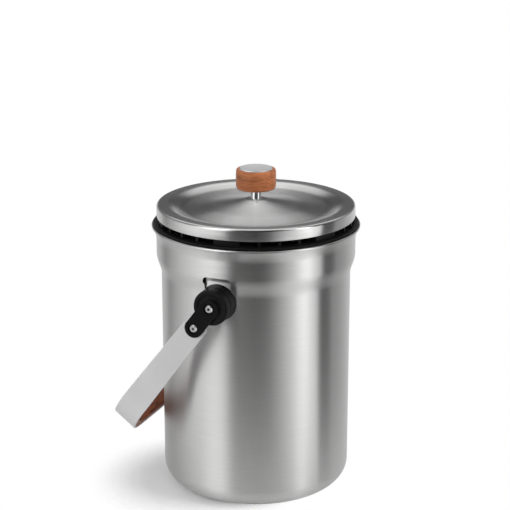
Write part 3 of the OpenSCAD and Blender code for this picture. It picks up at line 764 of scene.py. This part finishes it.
# %% [markdown]
# ## Satin strap, rivets and post
# The strap was blasted to a fine even satin. The rivets, screws and the post are plain bright steel, so they only
# need a smooth shader with a trace of unevenness, like metal that has been handled.

# %% Satin and bright steel
def satin(name, base, rough, grain, relief):
    """Fine isotropic grain: noise drives a little colour, roughness and bump."""
    mat, tree, bsdf = finish_named(name)
    fine, broad = noise(tree, here(tree), grain, 3.0), noise(tree, here(tree), 22.0, 2.0)
    fill(tree, bsdf, Base_Color=ramp(tree, broad, [(0.3, tuple(c * 0.95 for c in base)), (0.7, base)]),
         Roughness=scaled(tree, fine, 0.12, rough - 0.06), Normal=bump(tree, fine, 0.3, relief), Metallic=1.0)
    return mat


strap_satin = satin("satin_strap", (0.76, 0.76, 0.765), 0.55, 1500.0, 0.00003)
bright = satin("bright_steel_small", (0.78, 0.78, 0.78), 0.22, 900.0, 0.000004)
polished = satin("polished_stem", (0.80, 0.80, 0.80), 0.08, 300.0, 0.000002)

# %% [markdown]
# ## Hollow rivets
# The handle's four rivets are tubes, so each head has a hole in its middle. The hole is too small to be worth
# geometry, but its axis is known. The finish is painted black, as painted shade of the hole, where the distance to
# the nearer axis is under a millimetre and a quarter.

# %% Rivet heads with a painted dark bore
hollow = satin("hollow_rivet", (0.78, 0.78, 0.78), 0.3, 900.0, 0.000004)
tree = hollow.node_tree
bsdf = tree.nodes["Principled BSDF"]
x, _, z = x_y_z(tree)


def from_axis(x_mm, z_mm):
    """Distance sqrt((x - x_mm)^2 + (z - z_mm)^2) from an axis that runs along y, in metres."""
    return length(tree, maths(tree, "SUBTRACT", x, x_mm / 1000), maths(tree, "SUBTRACT", z, z_mm / 1000))


nearest = maths(tree, "MINIMUM", from_axis(0, PIVOT_Z), from_axis(-LINK_L * sin(HANG), PIVOT_Z - LINK_L * cos(HANG)))
# Painted shade: the rivet's bore is painted black instead of being cut into the head.
painted_bore_shade = ramp(tree, scaled(tree, nearest, 100.0), [(0.1, 0.0), (0.14, 1.0)])
plain = bsdf.inputs["Base Color"].links[0].from_socket
fill(tree, bsdf, Metallic=painted_bore_shade, Base_Color=blended(tree, 1.0, plain, painted_bore_shade, "MULTIPLY"))

# %% [markdown]
# ## Moulded black pieces
# Drums, links and liner are moulded or coated black. Spark-eroded moulds leave a fine matt texture, and handling
# leaves broad faint marks. The gasket is softer and rougher, with almost no gloss.

# %% Black pieces
def moulded(name, base, rough, grain, relief, specular):
    """Two noises: a fine texture for bump and roughness, a broad one for handling marks."""
    mat, tree, bsdf = finish_named(name)
    fine, broad = noise(tree, here(tree), grain, 4.0), noise(tree, here(tree), 60.0, 2.0)
    fill(tree, bsdf, Base_Color=ramp(tree, broad, [(0.3, base), (0.75, tuple(c * 1.5 for c in base))]),
         Roughness=scaled(tree, fine, 0.2, rough - 0.1), Normal=bump(tree, fine, 0.4, relief),
         Specular_IOR_Level=specular)
    return mat


black = moulded("moulded_black", (0.004, 0.004, 0.0042), 0.42, 1600.0, 0.00003, 0.16)
link_black = moulded("coated_link", (0.0028, 0.0028, 0.003), 0.5, 2200.0, 0.00002, 0.12)
rubber = moulded("silicone_black", (0.0035, 0.0035, 0.0037), 0.5, 900.0, 0.00002, 0.14)

# %% [markdown]
# ## Wood
# Wood is long fibres, so every pattern is stretched along the grain: broad bands of early and late wood, and short
# dark pores. The knob's grain runs straight through it from side to side. The grip's grain follows the crossbar.

# %% Oiled wood
def oiled_wood(name, dark, light, pore, layers, fibres, rough=0.42):
    """Growth layers: sharp-edged bands of a height that noise bends. Pores: a fine noise cut off low. layers and
    fibres are scales along x, y and z; the smallest of the three is along the grain."""
    mat, tree, bsdf = finish_named(name)

    def stretched(scale, detail, distortion=0.0):
        """Noise at (scale_x x, scale_y y, scale_z z)."""
        m = node(tree, "ShaderNodeMapping", Vector=here(tree), Scale=scale)
        return noise(tree, m.outputs[0], 1.0, detail, Distortion=distortion)

    bands, pores = stretched(layers, 3.0, 0.3), stretched(fibres, 2.0)
    mean = tuple((a + b) / 2 for a, b in zip(dark, light))
    ground = ramp(tree, bands, [(0.3, mean), (0.5, light), (0.7, mean)])
    line = ramp(tree, maths(tree, "FRACT", scaled(tree, bands, 9.0)),
                [(0.0, 0.45), (0.10, 0.0), (0.75, 0.0), (0.97, 1.0)])
    dotted = ramp(tree, pores, [(0.34, 1.0), (0.46, 0.0)])
    grown = blended(tree, line, ground, (*dark, 1))
    height = maths(tree, "SUBTRACT", scaled(tree, line, -0.3), scaled(tree, dotted, 0.7))
    fill(tree, bsdf, Base_Color=blended(tree, scaled(tree, dotted, 0.8), grown, (*pore, 1)),
         Roughness=scaled(tree, bands, 0.2, rough - 0.1), Normal=bump(tree, height, 0.35, 0.00012),
         Specular_IOR_Level=0.35)
    return mat


knob_oil = oiled_wood("oiled_knob_wood", (0.27, 0.08, 0.026), (0.535, 0.182, 0.068), (0.2, 0.055, 0.02),
                      (3.0, 9.0, 150.0), (50.0, 300.0, 1500.0))
grip_oil = oiled_wood("oiled_grip_wood", (0.10, 0.028, 0.012), (0.30, 0.085, 0.034), (0.05, 0.015, 0.008),
                      (90.0, 7.0, 90.0), (1300.0, 80.0, 1300.0))

# %% [markdown]
# ## Charcoal foam finish
# The colour follows the grains: dark grey on the crowns, black in the pits between them as painted shade of the
# pores, and here and there a flat face of a grain that shines. The two attributes that the grain field left on the
# mesh drive all three. The rim is painted darker than the top as painted shade, and the top is painted a little paler
# towards its middle as painted light where the lid shades it.

# %% Foam finish
foam_mat, tree, bsdf = finish_named("charcoal_foam_open")
depth = node(tree, "ShaderNodeAttribute", attribute_name="depth").outputs["Fac"]
shade = node(tree, "ShaderNodeAttribute", attribute_name="shade").outputs["Fac"]
x, y, z = x_y_z(tree)
# Painted shade: the colour falls to a tenth in the pits between the grains.
crown = ramp(tree, depth, [(0.25, 1.0), (0.66, 0.10)])
tone = ramp(tree, shade, [(0.0, 0.055), (0.6, 0.115), (0.86, 0.18), (1.0, 0.3)])
# Painted shade: the rim and the underside are darker than the top.
painted_rim_shade = to_range(tree, z, 0.2474, 0.2496, 0.12, 1.0)
# Painted light: the top is paler towards its middle, where the lid shades it.
middle = to_range(tree, length(tree, x, y), 0.03, 0.08, 1.9, 0.55)
# Painted shade and painted light scale the colour together.
painted_shade_and_light = node(tree, "ShaderNodeVectorMath", operation="SCALE", Scale=maths(tree, "MULTIPLY", painted_rim_shade, middle))
put(tree, painted_shade_and_light.inputs[0], blended(tree, 1.0, crown, tone, "MULTIPLY"))
fill(tree, bsdf, Base_Color=painted_shade_and_light.outputs[0], Roughness=ramp(tree, shade, [(0.6, 0.75), (0.95, 0.46)]),
     Normal=bump(tree, noise(tree, here(tree), 2600.0, 2.0), 0.6, 0.0002), Specular_IOR_Level=0.3)

# %% [markdown]
# ## Putting the finishes on
# Every piece gets its finish in one table, so that a change of mind is a change of one line. Small plain pieces,
# such as links, rivets and the vented liner, keep the model's own solids and only get a finish.

# %% Put the finishes on
dress = {
    steel: [pail], lid_steel: [lid_shell, skirt], strap_satin: [strap, knob_disc], polished: [post],
    black: [*drums, part["vent_liner"]], link_black: [part["front_link"], part["rear_link"]],
    rubber: [gasket], knob_oil: [knob], grip_oil: [grip], foam_mat: [foam],
    hollow: [part[f"{end}_{kind}_rivet"] for end in ("front", "rear") for kind in ("pivot", "strap")],
    bright: [part[n] for n in ("front_grip_screw", "middle_grip_screw", "rear_grip_screw", "knob_screw",
                               "screw_washer")],
}
for mat, pieces in dress.items():
    for piece in pieces:
        piece.data.materials.clear()
        piece.data.materials.append(mat)
    print(mat.name, "on", len(pieces), "piece(s)")

# %% [markdown]
# ## The inside of the pail
# The inside has a steel colour a little darker than the outside's, which is painted shade for the inside of the
# pail. A second material slot on the same mesh does this: a face is inside if it looks towards the axis, or up from
# the floor.

# %% The pail's inside is a finish of its own, with painted shade
faces = pail.data.polygons
centre, facing = np.empty(len(faces) * 3), np.empty(len(faces) * 3)
faces.foreach_get("center", centre)
faces.foreach_get("normal", facing)
centre, facing = centre.reshape(-1, 3), facing.reshape(-1, 3)
outward = (centre[:, :2] * facing[:, :2]).sum(1) / np.hypot(*centre[:, :2].T)
within = ((outward < -0.3) & (centre[:, 2] > 0.003)) | ((facing[:, 2] > 0.5) & (centre[:, 2] < 0.03))
pail.data.materials.append(inside_steel_painted_shade)
faces.foreach_set("material_index", within.astype(np.int32))
print("faces inside:", int(within.sum()), "of", len(faces))

# %% [markdown]
# ## Panels and flags round the table
# Steel shows what stands round it. A product studio puts a tall screen of light panels and dark flags round the
# work, and hides it from the camera. Each stop below is a bearing from the camera in degrees and a brightness. The
# four rows are four heights, and STEPS gives the heights in metres between which one row turns into the next. LOW is
# under the table's level, and an upright wall shows it to a camera that looks down. SIDE is level with the work, and
# round edges show it. MIDDLE and HIGH are above, and the lid shows them.

# %% Brightness by bearing and height
CAMERA_TURN = 22.4
CAMERA_BEARING = CAMERA_TURN - 90
LOW = [(-180, 0.9), (-140, 0.74), (-130, 0.42), (-118, 0.65), (-92, 0.9), (-75, 1.05), (-64, 0.74), (-50, 0.36),
       (-44, 0.22), (-37, 0.24), (-32, 0.07), (-10, 0.08), (1, 0.05), (15, 0.18), (28, 0.64), (36, 0.95), (50, 1.15),
       (58, 1.05), (64, 1.4), (77, 1.5), (81, 0.2), (96, 0.14), (106, 0.42), (122, 0.5), (140, 0.62), (155, 0.8),
       (180, 0.9)]
SIDE = [(-180, 0.9), (-140, 0.6), (-120, 0.2), (-105, 0.6), (-92, 1.1), (-78, 1.5), (-64, 1.6), (-52, 1.5),
        (-42, 1.3), (-36, 0.9), (-30, 0.06), (-10, 0.07), (1, 0.04), (13, 0.14), (26, 0.42), (38, 0.8), (50, 1.15),
        (62, 1.5), (77, 1.55), (80, 0.05), (96, 0.06), (100, 0.4), (112, 0.42), (127, 0.75), (150, 0.9), (180, 0.9)]
MIDDLE = [(-180, 0.06), (-155, 0.2), (-130, 0.3), (-114, 0.35), (-104, 0.15), (-88, 0.12), (-75, 0.4), (-66, 1.5),
          (-56, 2.9), (-46, 3.1), (-37, 1.8), (-31, 1.0), (-26, 0.05), (-20, 0.0), (20, 0.0), (38, 0.08), (46, 0.5),
          (51, 2.2), (58, 4.4), (64, 2.8), (69, 0.4), (75, 0.0), (90, 0.1), (108, 0.2), (122, 0.4), (134, 0.3),
          (155, 0.2), (180, 0.06)]
HIGH = [(-180, 1.4), (-114, 0.6), (-88, 0.3), (-66, 1.4), (-56, 2.6), (-44, 2.8), (-34, 1.2), (-28, 0.05), (20, 0.0),
        (38, 0.08), (46, 0.5), (51, 1.8), (57, 3.2), (64, 2.2), (70, 0.4), (75, 0.0), (98, 0.1), (130, 0.8), (180, 1.4)]
STEPS = [(-0.5, -0.15), (0.35, 0.8), (1.5, 2.4)]
BRIGHTEST = 6.0
print("stops per row:", [len(row) for row in (LOW, SIDE, MIDDLE, HIGH)])

# %% [markdown]
# ## The screen
# The screen is a wide open drum with one glowing material. Its brightness follows the bearing through a colour ramp
# for each row, and smooth steps of the height lead from one row to the next. Only reflections see it, so it shapes
# the steel's highlights and leaves the light on matt pieces alone. A ramp holds values up to 1, so the rows are
# divided by BRIGHTEST there and the glow is multiplied by it again.

# %% Screen
SCREEN_R, SCREEN_FOOT, SCREEN_TOP = 2600, -6000, 7000
screen = skin("studio_screen", around(SCREEN_R, np.array([[SCREEN_FOOT], [SCREEN_TOP]]), whole_turn(96)))
for flag in ("visible_camera", "visible_diffuse", "visible_shadow", "visible_transmission", "visible_volume_scatter"):
    setattr(screen, flag, False)
mat, tree, _ = finish_named("screen_light")
mat.cycles.emission_sampling = "NONE"
tree.nodes.clear()
x, y, z = x_y_z(tree)
bearing = maths(tree, "SUBTRACT", maths(tree, "ARCTAN2", y, x), radians(CAMERA_BEARING))
turns = maths(tree, "FRACT", scaled(tree, bearing, 1 / (2 * pi), 1.5))
rows = [ramp(tree, turns, [((b + 180) / 360, v / BRIGHTEST) for b, v in row]) for row in (LOW, SIDE, MIDDLE, HIGH)]
level = rows[0]
for row, (low, high) in zip(rows[1:], STEPS):
    level = blended(tree, to_range(tree, z, low, high, kind="SMOOTHSTEP"), level, row)
glow = node(tree, "ShaderNodeEmission", Color=level, Strength=BRIGHTEST)
node(tree, "ShaderNodeOutputMaterial", Surface=glow.outputs[0])
screen.data.materials.append(mat)

# %% [markdown]
# ## Table
# The table is large, pale and matt, and lies a hair under the foot. It is let go in two ways. A real table top ends,
# so in reflections only its middle counts. And for the camera it fades into the white room, so that all that is left
# of it is the soft shadow beside the foot. The shadow falls to one side of the pail, so the middle of that fade is
# moved the same way.

# %% Table
TABLE_MIRRORED, SHADOW_SEEN, SHADOW_X, SHADOW_Y = (0.12, 0.45), (0.045, 0.108), -0.045, -0.036
rings = np.array([0, 200, 500, 1000, 2000, 4000, 9000])
table = skin("table", around(rings[:, None], -0.05, whole_turn(96)))
if table.data.polygons[0].normal.z < 0:
    table.data.flip_normals()
mat, tree, bsdf = finish_named("pale_table")
fill(tree, bsdf, Base_Color=(0.93, 0.93, 0.93, 1), Roughness=0.8, Specular_IOR_Level=0.0)
x, y, _ = x_y_z(tree)
away = length(tree, scaled(tree, x, 1.0, -SHADOW_X), scaled(tree, y, 1.0, -SHADOW_Y))
unmirrored = to_range(tree, away, *TABLE_MIRRORED, kind="SMOOTHSTEP")
unseen = scaled(tree, to_range(tree, away, *SHADOW_SEEN, kind="SMOOTHSTEP"), 0.95, 0.05)
ray = node(tree, "ShaderNodeLightPath").outputs
hidden = maths(tree, "MAXIMUM", maths(tree, "MULTIPLY", unmirrored, ray["Is Glossy Ray"]),
               maths(tree, "MULTIPLY", unseen, ray["Is Camera Ray"]))
clear = node(tree, "ShaderNodeBsdfTransparent")
put(tree, tree.nodes["Material Output"].inputs["Surface"], either(tree, hidden, bsdf, clear))
table.data.materials.append(mat)

# %% [markdown]
# ## World
# A white room gives even light from all sides. The camera and reflections see it as plain white, which is a strength
# of 1. The light that it sheds on matt surfaces is set lower on its own, so that a colour renders as it is written.

# %% World
world = bpy.data.worlds.new("studio")
bpy.context.scene.world = world
world.use_nodes = True
tree = world.node_tree
tree.nodes.clear()
ray = node(tree, "ShaderNodeLightPath").outputs
seen = maths(tree, "MAXIMUM", ray["Is Camera Ray"],
             maths(tree, "MAXIMUM", ray["Is Glossy Ray"], ray["Is Transmission Ray"]))
shed, white = [node(tree, "ShaderNodeBackground", Color=(1, 1, 1, 1), Strength=s) for s in (0.62, 1.0)]
node(tree, "ShaderNodeOutputWorld", Surface=either(tree, seen, shed, white))

# %% [markdown]
# ## Lamps
# Two square soft boxes model the shapes: the key from the right, and a weaker, larger fill from the left. They are
# kept out of reflections, because the screen has panels of its own for those.

# %% Lamps
def soft_box(name, bearing, distance, height, aim_z, size, watts):
    """Square lamp at a bearing in degrees to the camera's right, turned towards the axis at the height aim_z."""
    b = radians(CAMERA_BEARING + bearing)
    light = bpy.data.lights.new(name, "AREA")
    light.shape, light.size, light.energy = "SQUARE", size, watts
    lamp = bpy.data.objects.new(name, light)
    lamp.location = (distance * cos(b), distance * sin(b), height)
    lamp.rotation_euler = (Vector((0, 0, aim_z)) - lamp.location).to_track_quat("-Z", "Y").to_euler()
    lamp.visible_glossy = False
    bpy.context.scene.collection.objects.link(lamp)
    print(f"{name}: {watts} W, {size} m wide")


soft_box("key", 70, 1.6, 1.6, 0.1, 0.9, 17)
soft_box("fill", -40, 2.2, 1.6, 0.15, 1.2, 10)

# %% [markdown]
# ## Camera
# The camera stands about 1.4 m away, 22.4 degrees round from the front drum, and looks down at about 17 degrees. A
# long lens keeps the ellipses calm. Its focal length is known in pixels, and the sensor's width over the picture's
# width turns it into millimetres.

# %% Camera
PIXELS, FOCAL, SHIFT, TILT, SENSOR = 510, 1542.3, -1.04, 17.07, 36.0
camera = bpy.data.objects.new("camera", bpy.data.cameras.new("camera"))
bpy.context.scene.collection.objects.link(camera)
camera.location = (0.5209, -1.2637, 0.6377)
camera.rotation_euler = (radians(90 - TILT), 0, radians(CAMERA_TURN))
camera.data.sensor_width = SENSOR
camera.data.lens = FOCAL / PIXELS * SENSOR
camera.data.shift_x = SHIFT / PIXELS
camera.data.clip_end = 40
bpy.context.scene.camera = camera
bpy.context.scene.view_settings.view_transform = "Standard"
print("focal length in mm:", round(camera.data.lens, 1))
